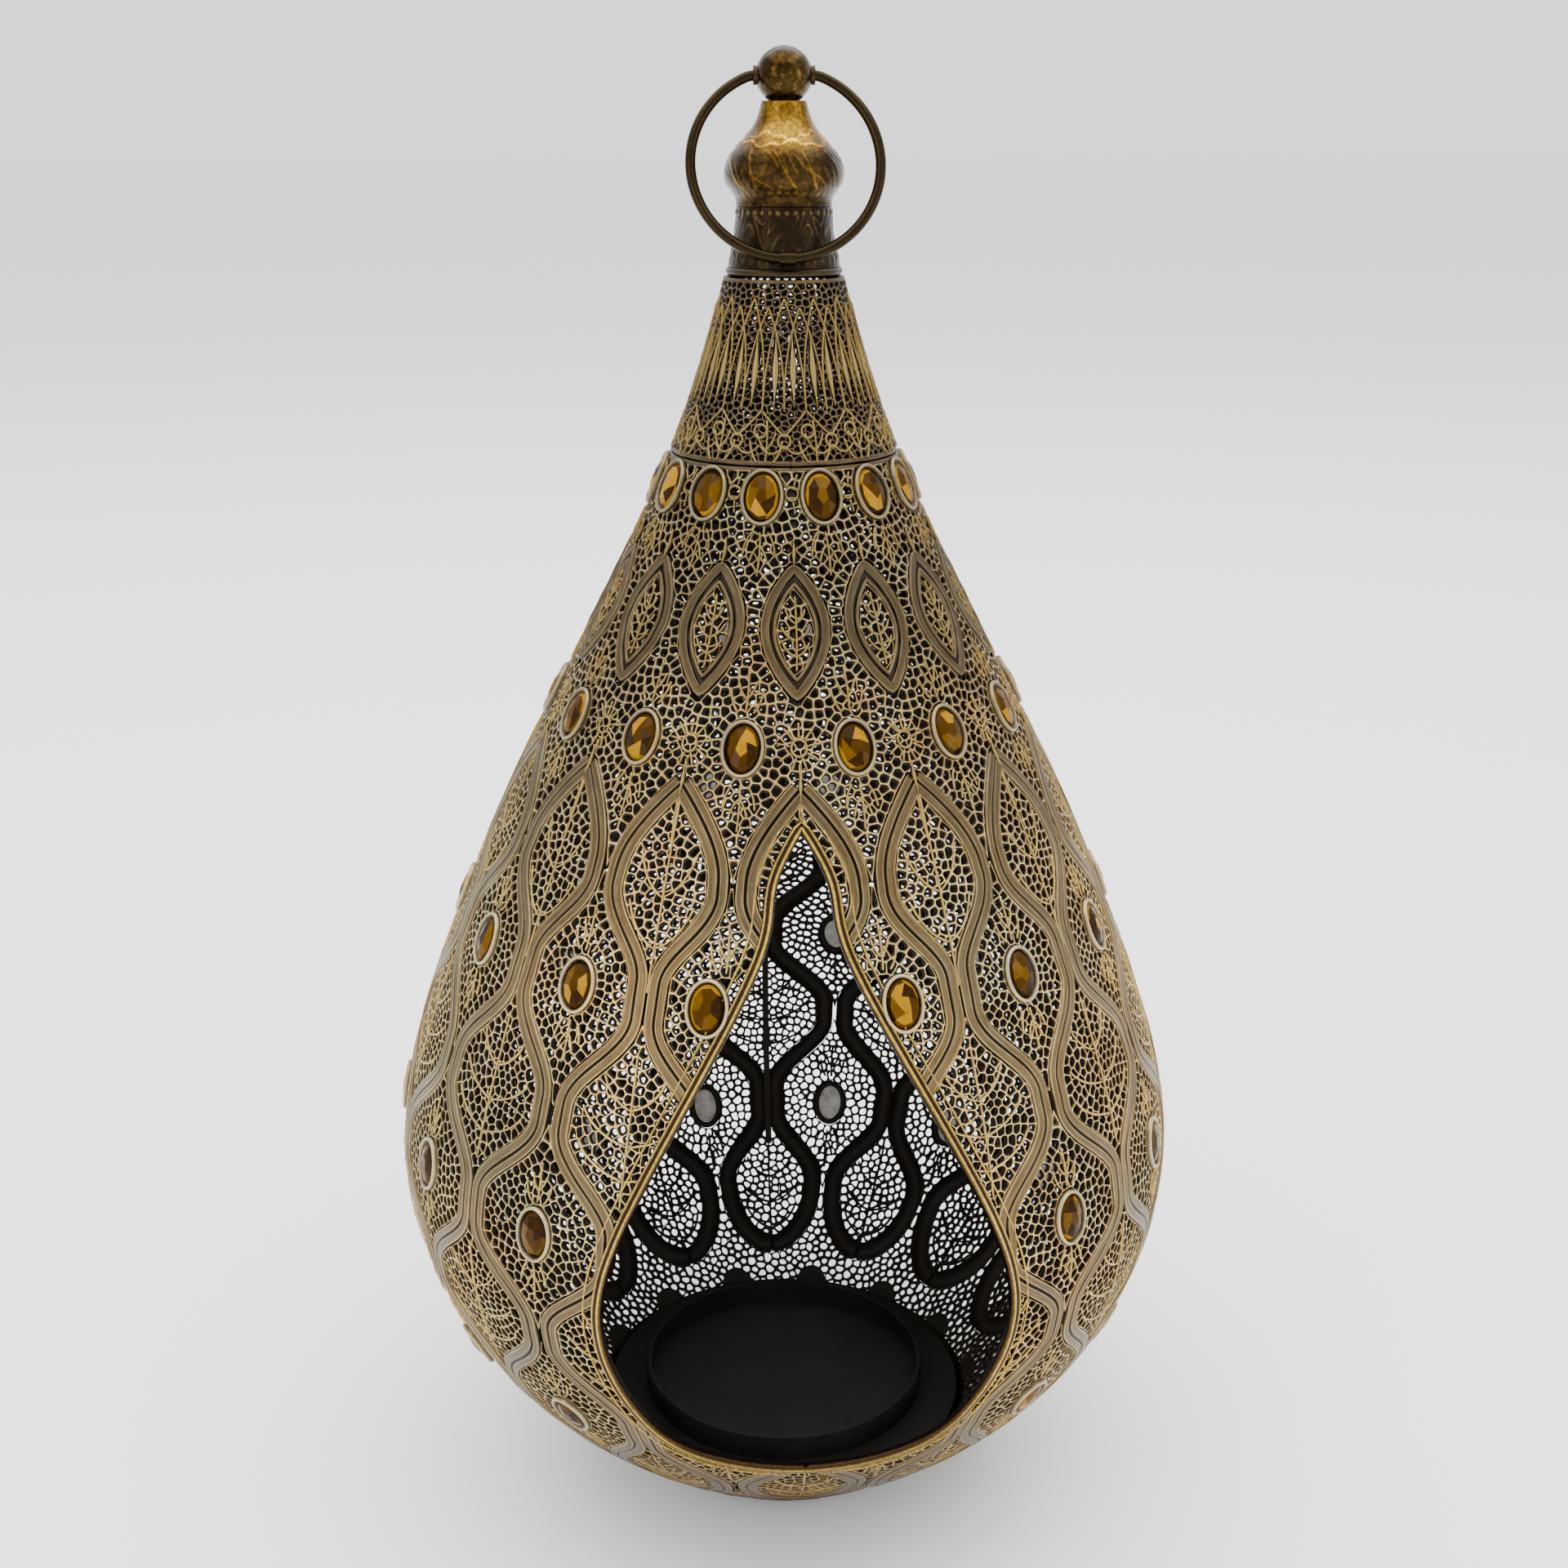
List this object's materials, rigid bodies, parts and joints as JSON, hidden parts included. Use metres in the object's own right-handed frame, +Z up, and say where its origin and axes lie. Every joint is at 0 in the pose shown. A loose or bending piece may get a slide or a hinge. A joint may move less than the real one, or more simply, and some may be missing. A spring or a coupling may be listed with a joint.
{
  "type": "hanging lantern",
  "caption": "Teardrop openwork metal lantern with an arched doorway, candle dish, amber stones in oval bezels and a turned finial with a swinging carrying ring.",
  "frame": {"origin": "centre of the base, on the plane that the lantern stands on", "axes": "+Z up along the lantern's axis, the doorway faces -Y, +X to the right of someone facing the doorway"},
  "size_m": [0.2534, 0.2359, 0.4601],
  "materials": {
    "antique_gold": "antique champagne gold with dark patina in the grooves",
    "aged_brass": "aged polished brass with brown patina",
    "dark_bronze": "dark bronze wire, worn bright on the outside",
    "black_coat": "matt black heat-proof coat",
    "plain_steel": "plain zinc plated",
    "amber_glass": "faceted amber glass"
  },
  "bodies": {
    "lantern": {"shell_left": "antique_gold", "shell_right": "antique_gold", "upper_cone": "antique_gold", "cone_joint_ring": "antique_gold", "seam_strip_back": "antique_gold", "seam_strip_front": "antique_gold", "base_pan": "antique_gold", "door_trim_left": "aged_brass", "door_trim_right": "aged_brass", "collar": "aged_brass", "collar_rim": "aged_brass", "pear_finial": "aged_brass", "finial_ball": "aged_brass", "ball_eyelets": "aged_brass", "floor_plate": "black_coat", "candle_dish": "black_coat", "finial_stud": "plain_steel", "finial_nut": "plain_steel", "finial_washer": "plain_steel", "bezels_row_1": "antique_gold", "bezels_row_2": "antique_gold", "bezels_row_3": "antique_gold", "bezels_row_4": "antique_gold", "bezels_row_5": "antique_gold", "stones_row_1": "amber_glass", "stones_row_2": "amber_glass", "stones_row_3": "amber_glass", "stones_row_4": "amber_glass", "stones_row_5": "amber_glass"},
    "ring": {"hanging_ring": "dark_bronze", "ring_weld_bead": "aged_brass"}
  },
  "joints": [
    {"name": "ring_swing", "type": "hinge", "parent": "lantern", "child": "ring", "pos_m": [0, 0, 0.452], "axis": [-1, 0, 0], "range_deg": [0, 319.8]}
  ]
}
